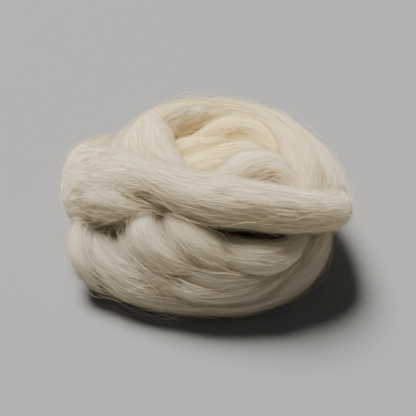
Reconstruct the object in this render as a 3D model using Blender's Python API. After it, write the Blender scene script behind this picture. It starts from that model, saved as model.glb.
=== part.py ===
"""A loose ball of combed wool roving: one thick, soft, untwisted rope of fibre, wound over itself.

The ball is one solid. It is made from its turns, each an oval section carried along a smooth path,
fused round a soft middle and flattened where the ball rests. +Z is up, the front is towards -Y,
and the origin is on the ground under the middle of the ball.
"""

from collections import namedtuple

import bmesh
import bpy
from mathutils import Matrix, Vector

MM = 0.001

# Driving sizes, in millimetres.
MIDDLE_HEIGHT = 34.0  # height of the middle of the ball, which every turn faces away from
PADS = (
    # height, then half sizes across, deep and high, of the soft middle that the turns lie on
    (34.0, 52.0, 38.0, 27.0),
    (16.0, 53.0, 44.0, 18.0),
)
FOOT_HEIGHT = 2.5  # how much of the underside is pressed flat
GRAIN = 2.4  # edge length of the skin before it is thinned
SOFTENING = 2  # smoothing passes that round the creases between turns
KEPT_FACES = 0.3  # share of the skin's triangles that is kept
CLOSE = 0.001  # a point this near a cut lies on it
SHORTEST_EDGE = 0.3

SECTION_SIDES = 20
STEPS_PER_ROW = 5
PAD_SUBDIVISIONS = 4

WOOL_COLOUR = (0.80, 0.74, 0.62, 1.0)
WOOL_ROUGHNESS = 0.75

# Each turn is a table of sections along its centre line, in millimetres, a row for each. The first
# three columns place the section. Width lies along the ball's surface, and thickness points out of it.
Section = namedtuple("Section", "across depth height width thickness")
BOTTOM_COIL = [
    (-56, -17, 21, 33, 34),
    (-51, -28, 19, 35, 35),
    (-38, -38, 17, 34, 35),
    (-19, -43, 16, 32, 36),
    (2, -45, 16, 32, 36),
    (20, -44, 16, 32, 36),
    (38, -38, 17, 33, 34),
    (50, -26, 19, 34, 34),
    (55, -8, 19, 34, 32),
    (53, 12, 18, 34, 32),
    (45, 32, 18, 34, 32),
    (26, 45, 18, 34, 32),
    (0, 49, 18, 34, 32),
    (-28, 44, 18, 34, 32),
    (-48, 28, 18, 34, 32),
    (-57, 4, 19, 34, 34),
]
MIDDLE_COIL = [
    (-52, -10, 34, 26, 24),
    (-38, -22, 36, 24, 22),
    (-14, -28, 36, 20, 18),
    (14, -29, 36, 20, 18),
    (38, -24, 36, 22, 20),
    (52, -8, 38, 26, 24),
    (55, 18, 40, 30, 24),
    (36, 42, 40, 32, 26),
    (0, 50, 40, 32, 26),
    (-34, 42, 40, 32, 26),
    (-54, 16, 38, 30, 26),
]
FRONT_BAND = [
    (-36, 44, 32, 26, 22),
    (-57, 33, 34, 34, 24),
    (-67, 17, 38, 42, 26),
    (-66, 2, 43, 46, 27),
    (-55, -5, 49, 45, 28),
    (-40, -11, 55, 37, 28),
    (-25, -21, 60, 28, 26),
    (-11, -29, 62, 25, 27),
    (6, -36, 62, 28, 28),
    (24, -40, 60, 29, 28),
    (42, -40, 56, 29, 28),
    (57, -34, 50, 26, 27),
    (67, -20, 42, 21, 24),
    (67, 2, 35, 24, 24),
    (60, 24, 34, 26, 24),
    (44, 42, 38, 28, 24),
    (20, 53, 43, 28, 22),
    (-8, 54, 45, 26, 22),
    (-30, 45, 42, 22, 20),
    (-44, 34, 36, 16, 16),
]
LEFT_LOBE = [
    (-58, 6, 36, 26, 20),
    (-62, -6, 39, 28, 24),
    (-55, -14, 43, 28, 26),
    (-45, -20, 47, 24, 25),
    (-35, -25, 50, 18, 20),
    (-25, -27, 51, 12, 14),
    (-14, -28, 50, 10, 10),
]
BACK_RIM = [
    (-14, -24, 46, 28, 20),
    (-23, -10, 55, 34, 22),
    (-32, 7, 57, 40, 24),
    (-32, 26, 56, 38, 26),
    (-16, 42, 55, 31, 26),
    (5, 50, 53, 26, 24),
    (24, 48, 53, 22, 22),
    (38, 36, 56, 20, 22),
    (47, 20, 58, 19, 22),
    (52, 4, 56, 18, 22),
    (54, -12, 49, 18, 20),
    (50, -26, 42, 18, 18),
]
OUTER_RIGHT = [
    (14, 54, 38, 24, 22),
    (38, 47, 42, 24, 22),
    (53, 33, 45, 24, 22),
    (62, 16, 45, 22, 22),
    (65, -2, 42, 22, 22),
    (60, -18, 36, 22, 20),
]
INNER_ARCH = [
    (-8, 8, 50, 12, 12),
    (-5, 19, 56, 14, 14),
    (3, 28, 59, 17, 16),
    (14, 33, 60, 20, 19),
    (25, 32, 59, 20, 19),
    (34, 25, 57, 19, 18),
    (40, 14, 54, 17, 16),
    (43, 3, 50, 14, 14),
    (44, -8, 45, 12, 12),
]
FAN = [
    (-14, -8, 50, 12, 12),
    (-5, -3, 55, 18, 14),
    (8, 2, 57, 23, 15),
    (22, 9, 55, 21, 14),
    (34, 14, 50, 16, 12),
]
INNER_LOBE = [
    (0, -13, 53, 12, 10),
    (12, -9, 57, 18, 16),
    (23, -4, 59, 23, 20),
    (35, -2, 57, 22, 20),
    (43, -8, 51, 18, 16),
    (44, -18, 45, 12, 12),
]
FOLD_LEFT = [
    (-27, -15, 48, 22, 16),
    (-32, -27, 45, 25, 19),
    (-31, -36, 40, 25, 19),
    (-23, -44, 36, 22, 18),
    (-11, -48, 32, 19, 16),
    (2, -48, 28, 15, 12),
    (12, -40, 24, 8, 8),
]
FOLD_MIDDLE = [
    (-21, -22, 49, 18, 16),
    (-12, -33, 46, 22, 18),
    (-4, -39, 41, 22, 18),
    (6, -44, 36, 20, 17),
    (16, -46, 31, 15, 13),
    (25, -40, 27, 8, 8),
]
FOLD_RIGHT = [
    (-1, -30, 38, 14, 12),
    (9, -39, 36, 17, 15),
    (21, -44, 34, 18, 16),
    (33, -44, 34, 17, 16),
    (43, -41, 36, 15, 14),
    (50, -32, 37, 12, 12),
]
SIDE_TUCK = [
    (-62, -9, 38, 12, 12),
    (-66, -20, 32, 15, 14),
    (-67, -30, 25, 17, 15),
    (-63, -37, 18, 17, 15),
    (-56, -39, 13, 15, 14),
    (-44, -34, 11, 10, 10),
]
RIM_FOLD = [
    (-43, -26, 38, 14, 10),
    (-41, -34, 34, 15, 12),
    (-35, -42, 29, 15, 12),
    (-24, -50, 25, 15, 12),
    (-11, -56, 22, 15, 12),
    (2, -58, 21, 15, 12),
    (15, -58, 21, 15, 12),
    (28, -55, 22, 15, 12),
    (39, -48, 25, 15, 12),
    (46, -40, 30, 15, 12),
    (46, -32, 37, 12, 10),
]
INNER_RIGHT = [
    (40, 27, 52, 9, 9),
    (47, 16, 53, 11, 10),
    (50, 5, 52, 11, 10),
    (51, -1, 47, 10, 10),
]
FOLD_LOW = [
    (-22, -42, 32, 12, 10),
    (-8, -51, 29, 16, 13),
    (7, -55, 28, 17, 14),
    (22, -54, 28, 17, 14),
    (34, -48, 30, 15, 13),
    (43, -40, 35, 12, 11),
]
CLOSED_TURNS = (BOTTOM_COIL, MIDDLE_COIL)
OPEN_TURNS = (
    FRONT_BAND, LEFT_LOBE, BACK_RIM, OUTER_RIGHT, INNER_ARCH, INNER_RIGHT, FAN, INNER_LOBE,
    FOLD_LEFT, FOLD_MIDDLE, FOLD_RIGHT, FOLD_LOW, RIM_FOLD, SIDE_TUCK,
)  # fmt: skip


def clear_scene():
    """Removes the objects that a new Blender file starts with."""
    for thing in list(bpy.data.objects):
        bpy.data.objects.remove(thing, do_unlink=True)


def blend_rows(before, start, end, after, share):
    """A section between the rows start and end, on a smooth curve through all four rows."""
    square, cube = share * share, share * share * share
    weights = (
        0.5 * (-share + 2 * square - cube),
        0.5 * (2 - 5 * square + 3 * cube),
        0.5 * (share + 4 * square - 3 * cube),
        0.5 * (cube - square),
    )
    columns = zip(before, start, end, after)
    return Section(*(sum(w * v for w, v in zip(weights, column)) for column in columns))


def smooth_sections(rows, closed):
    """The rows of a turn with smooth steps between them."""
    last = len(rows) - 1
    sections = []
    for index in range(len(rows) if closed else last):
        if closed:
            near = [rows[(index + offset) % len(rows)] for offset in (-1, 0, 1, 2)]
        else:
            near = [rows[min(max(index + offset, 0), last)] for offset in (-1, 0, 1, 2)]
        for step in range(STEPS_PER_ROW):
            sections.append(blend_rows(*near, step / STEPS_PER_ROW))
    if not closed:
        sections.append(Section(*rows[-1]))
    return sections


def section_matrix(section, centre, ahead):
    """Places a unit circle as an oval across the path, its thickness pointing out of the ball."""
    along = ahead.normalized()
    outward = centre - Vector((0, 0, MIDDLE_HEIGHT))
    outward = (outward - along * outward.dot(along)).normalized()
    side = along.cross(outward)
    turn = Matrix((side, outward, along)).transposed().to_4x4()
    size = Matrix.Diagonal((section.width / 2, section.thickness / 2, 1, 1))
    return Matrix.Translation(centre) @ turn @ size


def sweep_turn(bm, rows, closed):
    """Adds one turn: an oval at each section, joined to the next."""
    sections = smooth_sections(rows, closed)
    centres = [Vector((each.across, each.depth, each.height)) for each in sections]
    last = len(sections) - 1
    rings = []
    for index, section in enumerate(sections):
        following = centres[(index + 1) % len(centres)] if closed else centres[min(index + 1, last)]
        previous = centres[index - 1] if closed else centres[max(index - 1, 0)]
        place = section_matrix(section, centres[index], following - previous)
        is_end = not closed and index in (0, last)
        made = bmesh.ops.create_circle(
            bm, cap_ends=is_end, segments=SECTION_SIDES, radius=1, matrix=place
        )
        rings.append(list(dict.fromkeys(edge for vert in made["verts"] for edge in vert.link_edges)))
    pairs = list(zip(rings, rings[1:]))
    if closed:
        pairs.append((rings[-1], rings[0]))
    for ring, following in pairs:
        bmesh.ops.bridge_loops(bm, edges=ring + following)


def add_heart(bm):
    """Adds the soft middle that the turns lie on."""
    for height, across, deep, high in PADS:
        place = Matrix.Translation((0, 0, height)) @ Matrix.Diagonal((across, deep, high, 1))
        bmesh.ops.create_icosphere(bm, subdivisions=PAD_SUBDIVISIONS, radius=1, matrix=place)


def fuse(name, bm):
    """One closed skin round everything in the mesh, as a new mesh."""
    bmesh.ops.recalc_face_normals(bm, faces=bm.faces)
    mesh = bpy.data.meshes.new(name)
    bm.to_mesh(mesh)
    guide = bpy.data.objects.new(name, mesh)
    bpy.context.scene.collection.objects.link(guide)
    skin = guide.modifiers.new("skin", "REMESH")
    skin.mode = "VOXEL"
    skin.voxel_size = GRAIN
    softer = guide.modifiers.new("soften", "SMOOTH")
    softer.iterations = SOFTENING
    thinner = guide.modifiers.new("thin", "DECIMATE")
    thinner.ratio = KEPT_FACES
    evaluated = guide.evaluated_get(bpy.context.evaluated_depsgraph_get())
    fused = bpy.data.meshes.new_from_object(evaluated)
    bpy.data.objects.remove(guide)
    bpy.data.meshes.remove(mesh)
    return fused


def keep_outer_skin(bm):
    """Drops the skins of pockets sealed between the turns: whatever doesn't join the topmost point."""
    outer = set()
    waiting = [max(bm.verts, key=lambda vert: vert.co.z)]
    while waiting:
        vert = waiting.pop()
        if vert not in outer:
            outer.add(vert)
            waiting.extend(edge.other_vert(vert) for edge in vert.link_edges)
    pockets = [vert for vert in bm.verts if vert not in outer]
    bmesh.ops.delete(bm, geom=pockets, context="VERTS")


def flatten_foot(bm):
    """Cuts the underside flat and closes the cut."""
    lowest = min(vert.co.z for vert in bm.verts)
    level = Vector((0, 0, lowest + FOOT_HEIGHT))
    everything = bm.verts[:] + bm.edges[:] + bm.faces[:]
    bmesh.ops.bisect_plane(
        bm, geom=everything, dist=CLOSE, plane_co=level, plane_no=(0, 0, 1), clear_inner=True
    )
    bmesh.ops.remove_doubles(bm, verts=bm.verts, dist=SHORTEST_EDGE)
    bmesh.ops.dissolve_degenerate(bm, edges=bm.edges, dist=SHORTEST_EDGE)
    rim = [edge for edge in bm.edges if edge.is_boundary]
    bmesh.ops.triangle_fill(bm, edges=rim, use_beauty=True, normal=(0, 0, -1))
    return level.z


def place_on_ground(bm, level):
    """Stands the foot on the ground, with the ball's box centred over the origin, in metres."""
    across = [vert.co.x for vert in bm.verts]
    deep = [vert.co.y for vert in bm.verts]
    shift = Vector((-(min(across) + max(across)) / 2, -(min(deep) + max(deep)) / 2, -level))
    bmesh.ops.translate(bm, vec=shift, verts=bm.verts)
    bmesh.ops.scale(bm, vec=(MM, MM, MM), verts=bm.verts)


def wool_material():
    """Undyed cream wool."""
    material = bpy.data.materials.new("wool")
    material.use_nodes = True
    shader = material.node_tree.nodes["Principled BSDF"]
    shader.inputs["Base Color"].default_value = WOOL_COLOUR
    shader.inputs["Roughness"].default_value = WOOL_ROUGHNESS
    shader.inputs["Metallic"].default_value = 0.0
    return material


def build_ball():
    """The whole ball as one object."""
    bm = bmesh.new()
    add_heart(bm)
    for rows in CLOSED_TURNS:
        sweep_turn(bm, rows, closed=True)
    for rows in OPEN_TURNS:
        sweep_turn(bm, rows, closed=False)
    mesh = fuse("roving_ball", bm)
    bm.free()

    bm = bmesh.new()
    bm.from_mesh(mesh)
    keep_outer_skin(bm)
    level = flatten_foot(bm)
    place_on_ground(bm, level)
    bmesh.ops.triangulate(bm, faces=bm.faces)
    bmesh.ops.recalc_face_normals(bm, faces=bm.faces)
    bm.to_mesh(mesh)
    bm.free()
    mesh.shade_smooth()
    ball = bpy.data.objects.new("roving_ball", mesh)
    ball.data.materials.append(wool_material())
    bpy.context.scene.collection.objects.link(ball)
    return ball


clear_scene()
build_ball()
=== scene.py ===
"""A loose ball of combed wool roving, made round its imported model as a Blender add-on.

The ball is one thick, soft, untwisted rope of wool wound over itself. Each turn is an oval
section carried along a smooth path and fluted along its length. The turns are fused into one
soft skin, and fine fibres are laid along them and stand off them as a halo.
"""

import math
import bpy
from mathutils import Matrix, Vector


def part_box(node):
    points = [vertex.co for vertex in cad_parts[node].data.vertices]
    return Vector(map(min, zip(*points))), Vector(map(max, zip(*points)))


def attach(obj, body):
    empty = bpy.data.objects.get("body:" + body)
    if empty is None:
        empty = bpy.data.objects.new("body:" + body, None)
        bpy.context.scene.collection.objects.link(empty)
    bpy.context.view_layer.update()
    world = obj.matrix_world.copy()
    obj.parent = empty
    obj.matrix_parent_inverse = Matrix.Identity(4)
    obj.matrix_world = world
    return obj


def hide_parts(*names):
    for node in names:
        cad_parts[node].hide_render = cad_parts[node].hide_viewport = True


bl_info = {
    "name": "Wool roving ball",
    "version": (1, 0, 0),
    "blender": (4, 5, 0),
    "location": "3D View > Sidebar > Roving",
    "description": "Winds a loose ball of combed wool roving with its fibres and a small studio",
    "category": "Add Mesh",
}

from collections import namedtuple

import bmesh
import bpy
import numpy as np
from mathutils import Matrix, Vector
from mathutils.bvhtree import BVHTree

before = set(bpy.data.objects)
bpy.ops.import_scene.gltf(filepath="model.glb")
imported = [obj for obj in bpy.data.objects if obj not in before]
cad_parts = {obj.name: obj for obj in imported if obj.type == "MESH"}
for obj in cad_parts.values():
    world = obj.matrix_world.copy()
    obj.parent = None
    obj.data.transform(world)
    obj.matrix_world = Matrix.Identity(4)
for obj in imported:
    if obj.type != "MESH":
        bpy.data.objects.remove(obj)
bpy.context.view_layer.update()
BALL_NODE = "roving_ball"
BALL_LOW, BALL_HIGH = (Vector(corner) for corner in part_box(BALL_NODE))
BALL_MIDDLE = (BALL_LOW + BALL_HIGH) / 2

MM = 0.001
SQUARE_CM = 100.0  # in square millimetres
TURN = 2 * math.pi
GOLDEN_TURN = math.pi * (3 - math.sqrt(5))
MIDDLE_HEIGHT = 34.0  # the middle of the ball, in millimetres, which every turn faces away from
PATH_STEPS = 24  # fine steps between two rows of a table before they are spaced evenly
DRAWN_MIDDLE = (-0.7, 0.8)  # where the tables have the middle of the ball's box
DRAWN_GROUND = 0.6  # where the tables have the ground
REST_GAP = 0.0003  # how far the underside stays above the ground, in metres

# Each turn is a table of sections along its centre line, in millimetres, a row for each: across,
# depth, height, width, thickness. Width lies along the ball's surface, and thickness points out
# of it.
BOTTOM_COIL = (
    (-56, -17, 21, 33, 34),
    (-51, -28, 19, 35, 35),
    (-38, -38, 17, 34, 35),
    (-19, -43, 16, 32, 36),
    (2, -45, 16, 32, 36),
    (20, -44, 16, 32, 36),
    (38, -38, 17, 33, 34),
    (50, -26, 19, 34, 34),
    (55, -8, 19, 34, 32),
    (53, 12, 18, 34, 32),
    (45, 32, 18, 34, 32),
    (26, 45, 18, 34, 32),
    (0, 49, 18, 34, 32),
    (-28, 44, 18, 34, 32),
    (-48, 28, 18, 34, 32),
    (-57, 4, 19, 34, 34),
)
MIDDLE_COIL = (
    (-52, -10, 34, 26, 24),
    (-38, -20, 36, 24, 22),
    (-14, -24, 36, 20, 18),
    (14, -24, 36, 20, 16),
    (38, -19, 36, 22, 18),
    (52, -8, 38, 26, 24),
    (55, 18, 40, 30, 24),
    (36, 42, 40, 32, 26),
    (0, 50, 40, 32, 26),
    (-34, 42, 40, 32, 26),
    (-54, 16, 38, 30, 26),
)
FRONT_BAND = (
    (-36, 44, 32, 26, 22),
    (-57, 33, 34, 34, 24),
    (-67, 17, 38, 42, 26),
    (-66, 2, 43, 46, 27),
    (-55, -5, 49, 45, 28),
    (-40, -10, 57, 32, 27),
    (-25, -17, 61, 24, 26),
    (-11, -25, 61, 24, 27),
    (6, -31, 61.5, 26, 27),
    (24, -34, 61, 25, 27),
    (42, -34, 58, 24, 27),
    (57, -29, 52.5, 22, 26),
    (67, -20, 45, 20, 24),
    (67, 2, 35, 24, 24),
    (60, 24, 34, 26, 24),
    (44, 42, 38, 28, 24),
    (20, 53, 43, 28, 22),
    (-8, 54, 45, 26, 22),
    (-30, 45, 42, 22, 20),
    (-44, 34, 36, 16, 16),
)
LEFT_LOBE = (
    (-58, 6, 38, 30, 22),
    (-61, -5, 41.5, 32, 26),
    (-54, -12, 47, 31, 27),
    (-44, -18, 50.5, 26, 26),
    (-35, -23, 51, 17, 21),
    (-25, -26, 52, 10, 13),
    (-14, -27, 51, 9, 10),
)
BACK_RIM = (
    (-14, -24, 46, 28, 20),
    (-23, -10, 55, 34, 22),
    (-32, 7, 57, 40, 24),
    (-32, 26, 56, 38, 26),
    (-16, 42, 55, 31, 26),
    (5, 50, 53, 26, 24),
    (24, 48, 53, 22, 22),
    (38, 36, 56, 20, 22),
    (47, 20, 58, 19, 22),
    (52, 4, 56, 18, 22),
    (54, -12, 49, 18, 20),
    (50, -26, 42, 18, 18),
)
OUTER_RIGHT = (
    (14, 54, 38, 24, 22),
    (38, 47, 42, 24, 22),
    (53, 33, 45, 24, 22),
    (62, 16, 45, 22, 22),
    (65, -2, 42, 22, 22),
    (60, -18, 36, 22, 20),
)
INNER_ARCH = (
    (-8, 7, 49, 12, 12),
    (-5, 17, 54, 15, 14),
    (3, 26, 57, 18, 16),
    (14, 31, 58, 21, 19),
    (25, 30, 57, 21, 19),
    (34, 23, 56, 19, 18),
    (40, 13, 54, 17, 16),
    (43, 3, 50, 14, 14),
    (44, -8, 45, 12, 12),
)
FAN = (
    (-16, -2, 50, 16, 14),
    (-7, 3, 54, 26, 18),
    (7, 5, 57, 27, 18),
    (22, 10, 57, 24, 17),
    (35, 14, 53, 18, 14),
)
INNER_LOBE = (
    (0, -13, 53, 12, 10),
    (12, -9, 57, 18, 16),
    (23, -4, 59, 23, 20),
    (35, -2, 57, 22, 20),
    (43, -8, 51, 18, 16),
    (44, -18, 45, 12, 12),
)
FOLD_LEFT = (
    (-27, -15, 48, 22, 16),
    (-32, -27, 45, 25, 19),
    (-31, -36, 40, 25, 19),
    (-23, -44, 36, 22, 18),
    (-11, -48, 32, 19, 16),
    (2, -48, 28, 15, 12),
    (12, -40, 24, 8, 8),
)
FOLD_MIDDLE = (
    (-21, -22, 49, 18, 16),
    (-13, -35, 48, 22, 19),
    (-5, -43, 44, 23, 20),
    (6, -48, 39, 21, 18),
    (17, -49, 33, 15, 13),
    (26, -42, 28, 8, 8),
)
FOLD_RIGHT = (
    (-1, -32, 40, 14, 12),
    (9, -44, 40, 18, 17),
    (21, -49, 39, 21, 19),
    (33, -49, 39, 20, 19),
    (43, -44, 39, 16, 15),
    (50, -32, 38, 12, 12),
)
SIDE_TUCK = (
    (-62, -9, 38, 12, 12),
    (-66, -20, 32, 15, 14),
    (-67, -30, 25, 17, 15),
    (-63, -37, 18, 17, 15),
    (-56, -39, 13, 15, 14),
    (-44, -34, 11, 10, 10),
)
RIM_FOLD = (
    (-43, -26, 38, 14, 10),
    (-41, -34, 34, 15, 12),
    (-35, -42, 29, 15, 12),
    (-24, -50, 25, 15, 12),
    (-11, -56, 22, 15, 12),
    (2, -58, 21, 15, 12),
    (15, -58, 21, 15, 12),
    (28, -55, 22, 15, 12),
    (39, -48, 25, 15, 12),
    (46, -40, 30, 15, 12),
    (46, -32, 37, 12, 10),
)
INNER_RIGHT = (
    (40, 27, 52, 9, 9),
    (47, 16, 53, 11, 10),
    (50, 5, 52, 11, 10),
    (51, -1, 47, 10, 10),
)
NEST_FLOOR = (
    (-19, 15, 52, 22, 16),
    (-9, 19, 54, 28, 17),
    (6, 22, 54, 26, 15),
    (20, 22, 50, 18, 12),
)
FOLD_LOW = (
    (-22, -42, 32, 12, 10),
    (-8, -51, 29, 16, 13),
    (7, -55, 28, 17, 14),
    (22, -54, 28, 17, 14),
    (34, -48, 30, 15, 13),
    (43, -40, 35, 12, 11),
)

# Each strand is a turn with its own winding: closed turns join end to end, lean is how far the
# fibres wind round the strand in radians a metre, and tint runs from -1, greyer, to 1, yellower.
Strand = namedtuple("Strand", "name rows closed lean tint group")
STRANDS = (
    Strand("bottom_coil", BOTTOM_COIL, True, 0.0, 0.0, "low"),
    Strand("rim_fold", RIM_FOLD, False, 6.0, 0.0, "low"),
    Strand("side_tuck", SIDE_TUCK, False, 0.0, -0.2, "low"),
    Strand("middle_coil", MIDDLE_COIL, True, 0.0, 0.0, "rim"),
    Strand("outer_right", OUTER_RIGHT, False, 0.0, -0.3, "rim"),
    Strand("back_rim", BACK_RIM, False, 0.0, 0.5, "rim"),
    Strand("front_band", FRONT_BAND, False, 0.0, 0.2, "band"),
    Strand("left_lobe", LEFT_LOBE, False, 4.0, 0.1, "band"),
    Strand("inner_arch", INNER_ARCH, False, 0.0, 1.0, "nest"),
    Strand("nest_floor", NEST_FLOOR, False, 0.0, 1.0, "nest"),
    Strand("inner_right", INNER_RIGHT, False, 0.0, -0.4, "nest"),
    Strand("fan", FAN, False, 0.0, 1.0, "nest"),
    Strand("inner_lobe", INNER_LOBE, False, 0.0, 0.3, "nest"),
    Strand("fold_left", FOLD_LEFT, False, 4.0, 0.1, "nest"),
    Strand("fold_middle", FOLD_MIDDLE, False, 4.0, 0.2, "nest"),
    Strand("fold_right", FOLD_RIGHT, False, 0.0, 0.0, "nest"),
    Strand("fold_low", FOLD_LOW, False, 0.0, 0.0, "nest"),
)
GROUPS = ("low", "rim", "band", "nest")

# Flutes are the ridges on the body of a strand, and locks are those in the fibres that lie on it.
FLUTE_WIDTHS = (14.0, 9.0, 6.5, 4.6, 3.4)  # in millimetres, as are the depths
FLUTE_DEPTHS = (0.34, 0.22, 0.14, 0.09, 0.04)
LOCK_WIDTHS = (2.6, 1.7)
LOCK_DEPTHS = (0.08, 0.05)
WANDER = (0.045, 0.12)  # how quickly ridges sway along a strand, in radians a millimetre
SWAY = (2.2, 1.1)  # how far they sway at each of those, in radians of a ridge's own wave
OPEN_LOOP = 260.0  # the run over which the sway of an open strand repeats, in millimetres

FIBRE_SEED = 100  # for the first group, and each later group's is one more
PIECE_FIBRES = 6000  # the most fibres in one piece
FEWEST_FIBRES = 8  # tried along even the smallest strand
SHORTEST = 5.0  # a fibre cut shorter than this isn't laid, in millimetres
BURIED = 0.0016  # nor is one deeper in the body than this, in metres
UNDERSIDE = 0.0015  # nor one wholly below this height, which is under the ball, in metres
CLOSED_CREASE = 0.9  # nor one in a crease with more than this share of the sky taken
PULL = 0.0022  # how far a fibre is moved to lie on the skin, in metres

# How the fibres that lie along a strand vary. Distances are in millimetres.
LENGTH_SHARES = (0.6, 1.0)  # of the longest fibre
EARLY_START = 0.3  # a fibre may start this share of an open strand's length before it
SLANT = 0.03  # sideways for each millimetre along
BOW = 0.5
RISE = 0.22
LOOSE_SHARE = 0.06
LOOSE_RISE = (0.3, 1.3)
PRESSED = 0.12  # how far the ends are pressed into the skin

# How the stray fibres vary.
STRAY_LENGTH_SHARES = (0.35, 1.0)
STRAY_SWING = 5.0  # how far a stray fibre's end swings to one side
STRAY_BOW = 2.0
STRAY_HEIGHT = (1.6, 1.3)  # the shape and scale of a gamma distribution
STRAY_ROOT = 0.1  # how far a stray fibre starts inside the skin
FREE_SHARE = 0.45  # stray fibres that have a free end, and the others are loops

TIP = 0.35  # how thick a fibre is at its ends, as a share of its middle
THICKNESS_SHARES = (0.7, 1.15)  # of the fibre radius
TINT_SPREAD = 0.15

SKY_RAYS = 12  # directions tried from a point to see how deep in a crease it lies
SKY_SHARE = 0.92  # how much of the dome they cover, which keeps the lowest off the skin
SKY_START = 0.0012  # how far off the skin they start, in metres
CREASE_REACH = 0.024  # how far off the far side of a crease still shades it, in metres
FAR_SHADE = 0.5  # how much less it shades from there than from close by

FINE_STREAKS = (0.03, 1.1, 1.0)  # waves a millimetre, along the fibres and across them
BROAD_STREAKS = (0.016, 0.28, 1.0)
PATCHES = 32.0  # waves a metre

GROUND_SIZE = 20.0  # half a side of the floor, in metres
LIGHT_SPREAD = math.radians(27)  # how wide the lights look from the ball
KEY_SIDE, KEY_COLOUR = (-0.23, 0.36, 0.75), (1.0, 0.97, 0.93)
FILL_SIDE, FILL_COLOUR = (0.75, -0.7, 0.6), (0.9, 0.95, 1.0)
FILL_SHARE = 0.015  # of the key light's strength
SKY_COLOUR = (0.86, 0.93, 1.0, 1.0)
LENS = 85
LENS_SHIFT = (0.0096, -0.0048)
AIM_HEIGHT = 0.029  # the height that the camera looks at, in metres


def smooth_rows(rows, closed):
    """Fine rows on a smooth curve that passes through every row of a table."""
    count = len(rows)
    if closed:
        near = rows[np.arange(-1, count + 2) % count]
    else:
        near = rows[np.clip(np.arange(-1, count + 1), 0, count - 1)]
    share = np.linspace(0, 1, PATH_STEPS, endpoint=False)[None, :, None]
    before, start, end, after = (near[i : len(near) - 3 + i, None] for i in range(4))
    curve = 0.5 * (
        2 * start
        + (end - before) * share
        + (2 * before - 5 * start + 4 * end - after) * share**2
        + (3 * start - before - 3 * end + after) * share**3
    )
    return np.vstack([curve.reshape(-1, rows.shape[1]), near[-2]])


def runs_along(rows):
    """How far along the curve each of its rows is."""
    hops = np.linalg.norm(np.diff(rows[:, :3], axis=0), axis=1)
    return np.concatenate([[0], np.cumsum(hops)])


class Path:
    """A strand's centre line with its frame and section, at even steps, in millimetres."""

    def __init__(self, strand, step, seed):
        rows = smooth_rows(np.array(strand.rows, float), strand.closed)
        along = runs_along(rows)
        self.closed = strand.closed
        self.length = along[-1]
        self.count = max(int(round(self.length / step)), 4)
        self.step = self.length / self.count
        even = np.linspace(0, self.length, self.count + 1)
        table = np.stack([np.interp(even, along, column) for column in rows.T], axis=1)
        self.centre = table[:, :3]
        self.half_width = table[:, 3] / 2
        self.half_thickness = table[:, 4] / 2
        self.face_outwards()
        self.around = float(np.mean(np.pi * (self.half_width + self.half_thickness)))
        self.lean = strand.lean * MM
        self.tint = strand.tint
        draw = np.random.default_rng(seed)
        self.flutes = self.draw_waves(draw, FLUTE_WIDTHS, FLUTE_DEPTHS)
        self.locks = self.draw_waves(draw, LOCK_WIDTHS, LOCK_DEPTHS)

    def face_outwards(self):
        """Turns each section so that its thickness points away from the middle of the ball."""
        if self.closed:
            wrapped = np.vstack([self.centre[-2], self.centre, self.centre[1]])
            ahead = wrapped[2:] - wrapped[:-2]
        else:
            ahead = np.gradient(self.centre, axis=0)
        ahead /= np.linalg.norm(ahead, axis=1, keepdims=True)
        out = self.centre - np.array((0, 0, MIDDLE_HEIGHT))
        out -= ahead * np.sum(out * ahead, axis=1, keepdims=True)
        self.out = out / np.linalg.norm(out, axis=1, keepdims=True)
        self.side = np.cross(ahead, self.out)

    def draw_waves(self, draw, widths, depths):
        """Ridges of these widths and depths: how many go round, how deep, and their phases."""
        waves = []
        for width, depth in zip(widths, depths):
            phases = draw.uniform(0, TURN, 6)[:4]
            waves.append((max(round(self.around / width), 2), depth, phases))
        return waves

    def ridges(self, waves, run, angle):
        """How far the ridges stand out at these places: round crests with sharp valleys between."""
        height = np.zeros(np.broadcast(run, angle).shape)
        loop = TURN / self.length if self.closed else TURN / OPEN_LOOP
        for number, (count, depth, phase) in enumerate(waves, 1):
            slow, quick = (max(round(each / (loop * number)), 1) * loop for each in WANDER)
            sway = SWAY[0] * np.sin(slow * run + phase[0])
            sway = sway + SWAY[1] * np.sin(quick * run + phase[1] + angle)
            swell = 0.65 + 0.35 * np.sin(slow * run + phase[2] + 2 * angle)
            crest = np.abs(np.sin(count * angle / 2 + sway + phase[3]))
            height += depth * swell * (1.6 * crest - 1)
        return height

    def at(self, values, run):
        """These per-step values at any run along the strand."""
        place = run / self.step
        if self.closed:
            place = place % self.count
        place = np.clip(place, 0, self.count)
        low = np.minimum(place.astype(int), self.count - 1)
        share = place - low
        if values.ndim > 1:
            share = share[..., None]
        return values[low] * (1 - share) + values[low + 1] * share

    def body(self, run, angle):
        """Points on the fluted body of the strand, at these runs along it and angles round it."""
        lift = self.ridges(self.flutes, run, angle)
        angle = angle + self.lean * run
        side, out = self.at(self.side, run), self.at(self.out, run)
        wide = (self.at(self.half_width, run) + lift) * np.cos(angle)
        thick = (self.at(self.half_thickness, run) + lift) * np.sin(angle)
        return self.at(self.centre, run) + side * wide[..., None] + out * thick[..., None]

    def round_it(self, angle):
        """How far round the strand these angles are from its underside, in millimetres."""
        return (angle / TURN + 0.25) * self.around


def placed(points):
    """Takes millimetres as drawn to metres in the frame, and keeps them above the ground."""
    across, depth = BALL_MIDDLE.x - DRAWN_MIDDLE[0] * MM, BALL_MIDDLE.y - DRAWN_MIDDLE[1] * MM
    spots = points * MM + np.array((across, depth, -DRAWN_GROUND * MM))
    spots[..., 2] = np.maximum(spots[..., 2], REST_GAP)
    return spots


def ball_paths():
    """Every strand's path, by name."""
    step = bpy.context.scene.roving_sizes.step / MM
    return {each.name: Path(each, step, seed) for seed, each in enumerate(STRANDS)}


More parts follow.
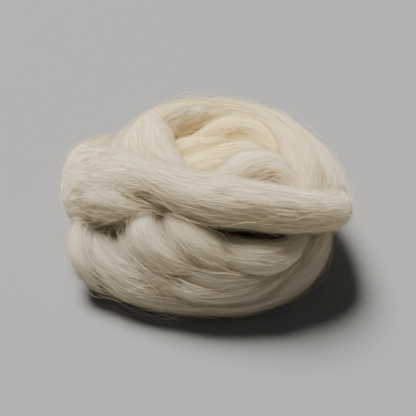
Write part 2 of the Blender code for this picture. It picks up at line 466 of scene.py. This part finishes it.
def sky_directions():
    """Evenly spread directions over a dome round +Z."""
    directions = []
    for number in range(SKY_RAYS):
        height = math.sqrt(1 - (number + 0.5) / SKY_RAYS * SKY_SHARE)
        turn = number * GOLDEN_TURN
        flat = math.sqrt(1 - height * height)
        directions.append(Vector((flat * math.cos(turn), flat * math.sin(turn), height)))
    return directions


def crease_depths(tree, points, normals):
    """How much of the sky over each point near wool takes: 0 in the open, 1 deep in a crease."""
    directions = sky_directions()
    depths = np.empty(len(points))
    for index, (point, normal) in enumerate(zip(points, normals)):
        normal = Vector(normal)
        start = Vector(point) + normal * SKY_START
        turn = normal.to_track_quat("Z", "Y")
        taken = 0.0
        for direction in directions:
            distance = tree.ray_cast(start, turn @ direction, CREASE_REACH)[3]
            if distance is not None:
                taken += 1 - FAR_SHADE * distance / CREASE_REACH
        depths[index] = taken / SKY_RAYS
    return depths


def link_piece(name, mesh, material):
    """A finished piece of the ball, riding on its one body."""
    mesh.materials.clear()
    mesh.materials.append(material)
    piece = bpy.data.objects.new(name, mesh)
    bpy.context.scene.collection.objects.link(piece)
    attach(piece, "root")
    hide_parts(BALL_NODE)


def wind_strands(paths, sides):
    """All the strands as fluted tubes in one bmesh, each a grid rolled up along its path."""
    bm = bmesh.new()
    lie = bm.loops.layers.uv.new("lie")
    tint = bm.verts.layers.float.new("tint")
    corner_at_origin = Matrix.Translation((0.5, 0.5, 0))
    for path in paths.values():
        made = bmesh.ops.create_grid(
            bm,
            x_segments=path.count,
            y_segments=sides,
            size=0.5,
            matrix=corner_at_origin,
            calc_uvs=False,
        )
        verts = made["verts"]
        faces = dict.fromkeys(face for vert in verts for face in vert.link_faces)
        for face in faces:
            for loop in face.loops:
                along, turned = loop.vert.co[:2]
                loop[lie].uv = (along * path.length, turned * path.around)
        share = np.array([vert.co[:2] for vert in verts])
        run, angle = share[:, 0] * path.length, (share[:, 1] - 0.25) * TURN
        for vert, place in zip(verts, placed(path.body(run, angle))):
            vert.co = place
            vert[tint] = path.tint
        bmesh.ops.remove_doubles(bm, verts=verts, dist=1e-6)
        if not path.closed:
            rims = [edge for edge in bm.edges if edge.is_boundary]
            bmesh.ops.holes_fill(bm, edges=rims, sides=0)
    return bm


def strand_traits(bm):
    """Each face's place along and round its strand, and its tint."""
    lie, tint = bm.loops.layers.uv["lie"], bm.verts.layers.float["tint"]
    traits = []
    for face in bm.faces:
        corners = [loop[lie].uv for loop in face.loops]
        spot = sum(corners, Vector((0, 0))) / len(corners)
        traits.append((spot.x, spot.y, face.verts[0][tint]))
    return traits


def finished_mesh(guide):
    """The mesh that a guide's modifiers make of it; the guide itself is removed."""
    bpy.context.scene.collection.objects.link(guide)
    evaluated = guide.evaluated_get(bpy.context.evaluated_depsgraph_get())
    result = bpy.data.meshes.new_from_object(evaluated)
    mesh = guide.data
    bpy.data.objects.remove(guide)
    bpy.data.meshes.remove(mesh)
    return result


def fuse(bm, sizes):
    """One soft skin round all the strands, as a bmesh without the pockets sealed inside it."""
    mesh = bpy.data.meshes.new("guide")
    bm.to_mesh(mesh)
    guide = bpy.data.objects.new("guide", mesh)
    skin = guide.modifiers.new("skin", "REMESH")
    skin.mode = "VOXEL"
    skin.voxel_size = sizes.grain
    softer = guide.modifiers.new("soften", "SMOOTH")
    softer.iterations = sizes.softening
    fused = finished_mesh(guide)
    body = bmesh.new()
    body.from_mesh(fused)
    bpy.data.meshes.remove(fused)
    outer, waiting = set(), [max(body.verts, key=lambda vert: vert.co.z)]
    while waiting:
        vert = waiting.pop()
        if vert not in outer:
            outer.add(vert)
            waiting.extend(edge.other_vert(vert) for edge in vert.link_edges)
    pockets = [vert for vert in body.verts if vert not in outer]
    bmesh.ops.delete(body, geom=pockets, context="VERTS")
    for vert in body.verts:
        vert.co.z = max(vert.co.z, REST_GAP)
    body.normal_update()
    return body


def colour_skin(body, strands, traits):
    """Gives each point of the skin its place on the nearest strand, its tint and its crease depth,
    which the material paints as shade.
    """
    lie = body.loops.layers.uv.new("lie")
    tint = body.verts.layers.float.new("tint")
    crease = body.verts.layers.float.new("crease")
    tree = BVHTree.FromBMesh(body)
    verts = list(body.verts)
    depths = crease_depths(tree, [vert.co for vert in verts], [vert.normal for vert in verts])
    for vert, depth in zip(verts, depths):
        run, round_it, vert[tint] = traits[strands.find_nearest(vert.co)[2]]
        vert[crease] = depth
        for loop in vert.link_loops:
            loop[lie].uv = (run, round_it)


class MaterialNodes:
    """The shader nodes of one material, added and linked a step at a time."""

    def __init__(self, material):
        material.use_nodes = True
        self.nodes, self.links = material.node_tree.nodes, material.node_tree.links
        self.shader = self.nodes["Principled BSDF"]

    def attribute(self, name):
        """The value of an attribute that the mesh carries."""
        node = self.nodes.new("ShaderNodeAttribute")
        node.attribute_name = name
        return node.outputs["Fac"]

    def noise(self, source, scale, detail, stretch=None, distortion=0.0):
        """Noise over these coordinates, which stretch scales on each axis first."""
        if stretch:
            mapping = self.nodes.new("ShaderNodeMapping")
            mapping.inputs["Scale"].default_value = stretch
            self.links.new(source, mapping.inputs["Vector"])
            source = mapping.outputs["Vector"]
        node = self.nodes.new("ShaderNodeTexNoise")
        node.inputs["Scale"].default_value = scale
        node.inputs["Detail"].default_value = detail
        node.inputs["Distortion"].default_value = distortion
        self.links.new(source, node.inputs["Vector"])
        return node.outputs["Fac"]

    def spread(self, source, low, high, to_low=0.0, to_high=1.0):
        """Takes the range from low to high onto another one."""
        node = self.nodes.new("ShaderNodeMapRange")
        ends = {"From Min": low, "From Max": high, "To Min": to_low, "To Max": to_high}
        for key, value in ends.items():
            node.inputs[key].default_value = value
        self.links.new(source, node.inputs["Value"])
        return node.outputs["Result"]

    def mixed(self, share, first, second):
        """A colour between two: the first is a socket or a colour, and the second a colour."""
        node = self.nodes.new("ShaderNodeMix")
        node.data_type = "RGBA"
        self.links.new(share, node.inputs["Factor"])
        if isinstance(first, bpy.types.NodeSocket):
            self.links.new(first, node.inputs["A"])
        else:
            node.inputs["A"].default_value = first
        node.inputs["B"].default_value = second
        return node.outputs["Result"]

    def bump(self, height, strength, distance):
        """Small relief on the shader's normal."""
        node = self.nodes.new("ShaderNodeBump")
        node.inputs["Strength"].default_value = strength
        node.inputs["Distance"].default_value = distance
        self.links.new(height, node.inputs["Height"])
        self.links.new(node.outputs["Normal"], self.shader.inputs["Normal"])


def wool_material(name, colours):
    """Combed wool: streaks along its fibres, slow changes of tint, and painted shade that darkens its
    creases.

    Gives back the material, its nodes and the output that its fine streaks come from.
    """
    material = bpy.data.materials.new(name)
    kit = MaterialNodes(material)
    lie = kit.nodes.new("ShaderNodeUVMap")
    lie.uv_map = "lie"
    lie = lie.outputs["UV"]
    place = kit.nodes.new("ShaderNodeTexCoord").outputs["Object"]
    fine = kit.noise(lie, 1.0, detail=3.0, stretch=FINE_STREAKS, distortion=0.4)
    broad = kit.noise(lie, 1.0, detail=2.0, stretch=BROAD_STREAKS, distortion=0.6)
    patches = kit.noise(place, PATCHES, detail=2.0)
    tint, crease = kit.attribute("tint"), kit.attribute("crease")

    colour = kit.mixed(kit.spread(broad, 0.3, 0.7), colours.shade, colours.cream)
    for share, over in (
        (kit.spread(fine, 0.35, 0.75, 0.0, 0.35), colours.light),
        (kit.spread(tint, 0.0, 1.0, 0.0, 0.9), colours.yellow),
        (kit.spread(tint, 0.0, -1.0, 0.0, 0.6), colours.grey),
        (kit.spread(patches, 0.45, 0.8, 0.0, 0.3), colours.grey),
        # painted shade: creases are darkened towards a warm dark colour by how much sky they lose
        (kit.spread(crease, 0.36, 0.85), colours.painted_crease_shade),
    ):
        colour = kit.mixed(share, colour, over)
    shader = kit.shader
    kit.links.new(colour, shader.inputs["Base Color"])
    kit.links.new(kit.spread(fine, 0.2, 0.8, 0.9, 0.7), shader.inputs["Roughness"])
    shader.inputs["Specular IOR Level"].default_value = 0.25
    shader.inputs["Sheen Weight"].default_value = 0.2
    shader.inputs["Sheen Roughness"].default_value = 0.5
    return material, kit, fine


def body_material(colours):
    """The wool of the body, which lets some light in and has its finest fibres as relief."""
    material, kit, fine = wool_material("combed wool", colours)
    shader = kit.shader
    shader.inputs["Subsurface Weight"].default_value = 0.35
    shader.inputs["Subsurface Radius"].default_value = (1.0, 0.6, 0.3)
    shader.inputs["Subsurface Scale"].default_value = 0.004
    kit.bump(fine, strength=0.5, distance=0.0006)
    return material


def tube_tree(material):
    """Geometry nodes that turn lines into thin tubes, as thick as their thick attribute says."""
    tree = bpy.data.node_groups.new("fibre tubes", "GeometryNodeTree")
    tree.interface.new_socket("Geometry", in_out="INPUT", socket_type="NodeSocketGeometry")
    tree.interface.new_socket("Geometry", in_out="OUTPUT", socket_type="NodeSocketGeometry")
    nodes, links = tree.nodes, tree.links
    lines, result = nodes.new("NodeGroupInput"), nodes.new("NodeGroupOutput")
    to_curve = nodes.new("GeometryNodeMeshToCurve")
    thick = nodes.new("GeometryNodeInputNamedAttribute")
    thick.data_type = "FLOAT"
    thick.inputs["Name"].default_value = "thick"
    ring = nodes.new("GeometryNodeCurvePrimitiveCircle")
    ring.inputs["Resolution"].default_value = 3
    ring.inputs["Radius"].default_value = 1.0
    tubes, dress = nodes.new("GeometryNodeCurveToMesh"), nodes.new("GeometryNodeSetMaterial")
    tubes.inputs["Fill Caps"].default_value = True
    dress.inputs["Material"].default_value = material
    links.new(lines.outputs["Geometry"], to_curve.inputs["Mesh"])
    links.new(to_curve.outputs["Curve"], tubes.inputs["Curve"])
    links.new(thick.outputs["Attribute"], tubes.inputs["Scale"])
    links.new(ring.outputs["Curve"], tubes.inputs["Profile Curve"])
    links.new(tubes.outputs["Mesh"], dress.inputs["Geometry"])
    links.new(dress.outputs["Geometry"], result.inputs["Geometry"])
    return tree


def guide_lines(name, fibres):
    """An object of bare lines along these fibres, which carries their traits."""
    count, points = fibres["place"].shape[:2]
    index = np.arange(count * points).reshape(count, points)
    joins = np.stack([index[:, :-1], index[:, 1:]], axis=2).reshape(-1, 2)
    mesh = bpy.data.meshes.new(name)
    mesh.from_pydata(fibres["place"].reshape(-1, 3).tolist(), joins.tolist(), [])
    for key in ("thick", "run", "round", "crease", "tint"):
        layer = mesh.attributes.new(key, "FLOAT", "POINT")
        layer.data.foreach_set("value", np.ascontiguousarray(fibres[key], np.float32).ravel())
    return bpy.data.objects.new(name, mesh)


def fibre_tubes(name, fibres, tree):
    """A mesh of thin tubes along these fibres, with their run and round as its UV map."""
    guide = guide_lines(name, fibres)
    guide.modifiers.new("tubes", "NODES").node_group = tree
    tubes = finished_mesh(guide)
    tubes.name = name
    corner = np.empty(len(tubes.loops), np.int32)
    tubes.loops.foreach_get("vertex_index", corner)
    flat = np.empty((len(corner), 2), np.float32)
    for column, key in enumerate(("run", "round")):
        values = np.empty(len(tubes.vertices), np.float32)
        tubes.attributes[key].data.foreach_get("value", values)
        flat[:, column] = values[corner]
    for key in ("run", "round", "thick"):
        tubes.attributes.remove(tubes.attributes[key])
    tubes.uv_layers.new(name="lie").uv.foreach_set("vector", flat.ravel())
    tubes.shade_smooth()
    return tubes


def point_shares(sizes):
    """How far along a fibre each of its points is, as a row."""
    return np.linspace(0, 1, sizes.fibre_points)[None, :]


def within(path, start, length, share):
    """Runs along a strand from start over length, cut off where the strand ends."""
    end = start + length
    if not path.closed:
        start, end = np.clip(start, 0, path.length), np.clip(end, 0, path.length)
    return start + share * (end - start)


def lay_on(path, draw, count, sizes):
    """Fibres that lie along one strand: their runs, angles and lifts, an array (fibre, point) each."""
    share = point_shares(sizes)
    length = draw.uniform(*LENGTH_SHARES, (count, 1)) * sizes.fibre_length / MM
    start = draw.uniform(-EARLY_START, 1, (count, 1)) * path.length
    if path.closed:
        start = draw.uniform(0, 1, (count, 1)) * path.length
    run = within(path, start, length, share)
    angle = draw.uniform(0, TURN, (count, 1))
    reach = path.around / TURN
    slant = draw.normal(0, SLANT, (count, 1)) * length / reach
    bow = draw.normal(0, BOW, (count, 1)) / reach
    angle = angle + slant * (share - 0.5) + bow * np.sin(share * math.pi)
    rise = np.abs(draw.normal(0, RISE, (count, 1)))
    loose = draw.uniform(0, 1, (count, 1)) < LOOSE_SHARE
    rise = np.where(loose, rise + draw.uniform(*LOOSE_RISE, (count, 1)), rise)
    return run, angle, rise * np.sin(share * math.pi) ** 0.8 - PRESSED


def stray_on(path, draw, count, sizes):
    """Stray fibres that stand off one strand as loops or free ends, in the same arrays."""
    share = point_shares(sizes)
    length = draw.uniform(*STRAY_LENGTH_SHARES, (count, 1)) * sizes.fibre_length / MM
    start = draw.uniform(0, 1, (count, 1)) * path.length
    run = within(path, start, length, share)
    reach = path.around / TURN
    angle = draw.uniform(0, TURN, (count, 1))
    angle = angle + draw.normal(0, STRAY_SWING, (count, 1)) * share / reach
    angle = angle + draw.normal(0, STRAY_BOW, (count, 1)) * np.sin(share * math.pi) / reach
    height = draw.gamma(*STRAY_HEIGHT, (count, 1))
    free = draw.uniform(0, 1, (count, 1)) < FREE_SHARE
    lift = np.where(free, height * share**1.4, height * np.sin(share * math.pi)) - STRAY_ROOT
    return run, angle, np.minimum(lift, sizes.stray_reach / MM)


def shown(tree, places):
    """Which of these fibres aren't buried in the ball or under it."""
    kept = np.zeros(len(places), bool)
    for index, fibre in enumerate(places):
        for place in fibre[1::2]:
            spot = Vector(place)
            near, normal = tree.find_nearest(spot)[:2]
            if (spot - near).dot(normal) > -BURIED:
                kept[index] = True
                break
    return kept & (places[:, :, 2].max(axis=1) > UNDERSIDE)


def settle(tree, places, lifts):
    """Moves fibres onto the skin, each point lifted off it by its own amount, in metres."""
    settled = np.empty_like(places)
    outward = np.empty_like(places)
    flat, flat_out = settled.reshape(-1, 3), outward.reshape(-1, 3)
    for index, (place, lift) in enumerate(zip(places.reshape(-1, 3), lifts.ravel())):
        spot = Vector(place)
        near, normal, _, distance = tree.find_nearest(spot)
        pull = min(1.0, PULL / max(distance, 1e-9))
        flat[index] = spot + (near - spot) * pull + normal * lift
        flat_out[index] = normal
    settled[..., 2] = np.maximum(settled[..., 2], REST_GAP)
    return settled, outward


def strand_fibres(path, shape, density, tree, draw, sizes):
    """One strand's fibres of this shape that show: their places and traits, by name."""
    count = max(int(path.length * path.around / SQUARE_CM * density), FEWEST_FIBRES)
    run, angle, lift = shape(path, draw, count, sizes)
    places = placed(path.body(run, angle))
    kept = shown(tree, places) & (run[:, -1] - run[:, 0] > SHORTEST)
    run, angle, lift, places = (values[kept] for values in (run, angle, lift, places))
    lift = (lift + path.ridges(path.locks, run, angle)) * MM
    places, outward = settle(tree, places, lift)
    middle = sizes.fibre_points // 2
    # how deep in a crease each fibre lies, which the material paints as shade
    crease = crease_depths(tree, places[:, middle], outward[:, middle])
    kept = crease < CLOSED_CREASE
    run, angle, places, crease = (values[kept] for values in (run, angle, places, crease))
    taper = TIP + (1 - TIP) * np.sin(point_shares(sizes) * math.pi) ** 0.6
    return {
        "place": places,
        "thick": sizes.fibre_radius * taper * draw.uniform(*THICKNESS_SHARES, (len(run), 1)),
        "run": run,
        "round": path.round_it(angle),
        "crease": np.repeat(crease[:, None], sizes.fibre_points, 1),
        "tint": np.full(run.shape, path.tint) + draw.normal(0, TINT_SPREAD, (len(run), 1)),
    }


def group_fibres(group, paths, tree, draw, sizes):
    """The fibres of all the strands in one group, together."""
    shapes = ((lay_on, sizes.fibre_density), (stray_on, sizes.stray_density))
    found = []
    for strand in STRANDS:
        if strand.group == group:
            for shape, density in shapes:
                found.append(strand_fibres(paths[strand.name], shape, density, tree, draw, sizes))
    return {key: np.concatenate([each[key] for each in found]) for key in found[0]}


def length_property(name, description, default):
    """A length in metres that a user can change."""
    return bpy.props.FloatProperty(
        name=name,
        description=description,
        default=default,
        min=0.00001,
        precision=5,
        subtype="DISTANCE",
        unit="LENGTH",
    )


def colour_property(name, description, default):
    """A colour that a user can change."""
    return bpy.props.FloatVectorProperty(
        name=name,
        description=description,
        default=(*default, 1.0),
        size=4,
        min=0,
        max=1,
        subtype="COLOR",
    )


class RovingSizes(bpy.types.PropertyGroup):
    """Sizes of the strands and fibres."""

    step: length_property("Step", "Spacing of the rings along a strand", 0.0016)
    sides: bpy.props.IntProperty(
        name="Sides", description="Faces round a strand", default=64, min=12
    )
    grain: length_property("Grain", "Spacing of the points on the body of the ball", 0.0012)
    softening: bpy.props.IntProperty(
        name="Softening", description="How often the creases are smoothed", default=4, min=0
    )
    fibre_length: length_property("Fibre length", "Longest run of one fibre", 0.034)
    fibre_radius: length_property(
        "Fibre radius", "Half the thickness of a fibre at its middle", 0.00007
    )
    fibre_points: bpy.props.IntProperty(
        name="Fibre points", description="Points along a fibre", default=5, min=3
    )
    fibre_density: bpy.props.FloatProperty(
        name="Fibre density",
        description="Fibres to each square centimetre of strand",
        default=31.0,
    )
    stray_density: bpy.props.FloatProperty(
        name="Stray density",
        description="Stray fibres to each square centimetre of strand",
        default=11.0,
    )
    stray_reach: length_property(
        "Stray reach", "How far the longest stray fibres stand off", 0.006
    )


class RovingColours(bpy.types.PropertyGroup):
    """Colours of the wool and the studio."""

    cream: colour_property("Cream", "Body colour of the wool", (0.80, 0.70, 0.52))
    light: colour_property("Light", "Bright streaks", (0.92, 0.83, 0.64))
    shade: colour_property("Shade", "Dull streaks", (0.70, 0.60, 0.435))
    yellow: colour_property("Yellow", "Strands tinted with lanolin", (0.95, 0.77, 0.37))
    grey: colour_property("Grey", "Cooler strands and patches", (0.66, 0.59, 0.46))
    # painted shade: the warm dark colour mixed into deep creases, where shade falls
    painted_crease_shade: colour_property("Brown", "Deep creases", (0.16, 0.085, 0.04))
    ground: colour_property("Ground", "Plain floor", (0.26, 0.26, 0.26))


class StudioSettings(bpy.types.PropertyGroup):
    """The lights and the camera."""

    key_strength: bpy.props.FloatProperty(
        name="Key light", description="Strength of the soft key light", default=8.0, min=0
    )
    sky_strength: bpy.props.FloatProperty(
        name="Sky", description="Strength of the even light all round", default=0.07, min=0
    )
    tilt: bpy.props.FloatProperty(
        name="Camera height",
        description="Angle that the camera looks down at",
        default=math.radians(42),
        subtype="ANGLE",
        unit="ROTATION",
    )
    distance: length_property(
        "Camera distance", "From the camera to the middle of the ball", 0.556
    )


class ROVING_OT_wind_strands(bpy.types.Operator):
    """Winds the fluted strands and fuses them into the body of the ball"""

    bl_idname = "roving.wind_strands"
    bl_label = "Wind strands"

    def execute(self, context):
        sizes = context.scene.roving_sizes
        wound = wind_strands(ball_paths(), sizes.sides)
        body = fuse(wound, sizes)
        colour_skin(body, BVHTree.FromBMesh(wound), strand_traits(wound))
        mesh = bpy.data.meshes.new("strands")
        body.to_mesh(mesh)
        wound.free()
        body.free()
        mesh.shade_smooth()
        link_piece("strands", mesh, body_material(context.scene.roving_colours))
        return {"FINISHED"}


class ROVING_OT_lay_fibres(bpy.types.Operator):
    """Lays fine fibres along every strand, with stray ones standing off it"""

    bl_idname = "roving.lay_fibres"
    bl_label = "Lay fibres"

    def execute(self, context):
        sizes = context.scene.roving_sizes
        bm = bmesh.new()
        bm.from_mesh(bpy.data.objects["strands"].data)
        skin = BVHTree.FromBMesh(bm)
        bm.free()
        paths = ball_paths()
        material = wool_material("wool fibre", context.scene.roving_colours)[0]
        tubes = tube_tree(material)
        for seed, group in enumerate(GROUPS, FIBRE_SEED):
            draw = np.random.default_rng(seed)
            fibres = group_fibres(group, paths, skin, draw, sizes)
            order = draw.permutation(len(fibres["place"]))
            chunks = np.array_split(order, math.ceil(len(order) / PIECE_FIBRES))
            for number, chunk in enumerate(chunks, 1):
                name = f"fibres_{group}_{number}"
                part = {key: values[chunk] for key, values in fibres.items()}
                link_piece(name, fibre_tubes(name, part, tubes), material)
        return {"FINISHED"}


class ROVING_OT_set_studio(bpy.types.Operator):
    """Sets up the floor, the lights and the camera"""

    bl_idname = "roving.set_studio"
    bl_label = "Set up studio"

    def execute(self, context):
        scene, studio = context.scene, context.scene.roving_studio
        self.add_ground(scene)
        self.add_light(scene, "key", KEY_SIDE, studio.key_strength, KEY_COLOUR)
        self.add_light(scene, "fill", FILL_SIDE, studio.key_strength * FILL_SHARE, FILL_COLOUR)
        scene.world = bpy.data.worlds.new("studio")
        scene.world.use_nodes = True
        sky = scene.world.node_tree.nodes["Background"]
        sky.inputs["Color"].default_value = SKY_COLOUR
        sky.inputs["Strength"].default_value = studio.sky_strength
        self.add_camera(scene, studio)
        return {"FINISHED"}

    def add_ground(self, scene):
        """A plain floor that the ball rests on."""
        bm = bmesh.new()
        bmesh.ops.create_grid(bm, x_segments=1, y_segments=1, size=GROUND_SIZE)
        mesh = bpy.data.meshes.new("ground")
        bm.to_mesh(mesh)
        bm.free()
        material = bpy.data.materials.new("plain ground")
        shader = MaterialNodes(material).shader
        shader.inputs["Base Color"].default_value = scene.roving_colours.ground
        shader.inputs["Roughness"].default_value = 0.9
        mesh.materials.append(material)
        ground = bpy.data.objects.new("ground", mesh)
        scene.collection.objects.link(ground)

    def add_light(self, scene, name, side, strength, colour):
        """A wide soft light that shines on the ball from that side."""
        light = bpy.data.lights.new(name, "SUN")
        light.angle, light.energy, light.color = LIGHT_SPREAD, strength, colour
        lamp = bpy.data.objects.new(name, light)
        lamp.location = side
        lamp.rotation_euler = (-Vector(side)).to_track_quat("-Z", "Y").to_euler()
        scene.collection.objects.link(lamp)

    def add_camera(self, scene, studio):
        """A camera that looks down at the front of the ball."""
        camera = bpy.data.objects.new("camera", bpy.data.cameras.new("camera"))
        camera.data.lens = LENS
        camera.data.shift_x, camera.data.shift_y = LENS_SHIFT
        back = Vector((0, -math.cos(studio.tilt), math.sin(studio.tilt)))
        aim = Vector((BALL_MIDDLE.x, BALL_MIDDLE.y, AIM_HEIGHT))
        camera.location = aim + back * studio.distance
        camera.rotation_euler = (-back).to_track_quat("-Z", "Y").to_euler()
        scene.collection.objects.link(camera)
        scene.camera = camera


class ROVING_PT_panel(bpy.types.Panel):
    """Lists the settings and the steps"""

    bl_label = "Wool roving"
    bl_idname = "ROVING_PT_panel"
    bl_space_type = "VIEW_3D"
    bl_region_type = "UI"
    bl_category = "Roving"

    def draw(self, context):
        layout = self.layout
        for key, kind in SETTINGS.items():
            box = layout.box()
            for name in kind.__annotations__:
                box.prop(getattr(context.scene, key), name)
        for step in STEPS:
            layout.operator(step.bl_idname)


STEPS = (ROVING_OT_wind_strands, ROVING_OT_lay_fibres, ROVING_OT_set_studio)
SETTINGS = {
    "roving_sizes": RovingSizes,
    "roving_colours": RovingColours,
    "roving_studio": StudioSettings,
}
CLASSES = (*SETTINGS.values(), *STEPS, ROVING_PT_panel)


def register():
    for each in CLASSES:
        bpy.utils.register_class(each)
    for key, kind in SETTINGS.items():
        setattr(bpy.types.Scene, key, bpy.props.PointerProperty(type=kind))


def unregister():
    for key in SETTINGS:
        delattr(bpy.types.Scene, key)
    for each in reversed(CLASSES):
        bpy.utils.unregister_class(each)


def main():
    """Makes the whole ball and its studio."""
    register()
    bpy.ops.roving.wind_strands()
    bpy.ops.roving.lay_fibres()
    bpy.ops.roving.set_studio()


if __name__ == "__main__":
    main()
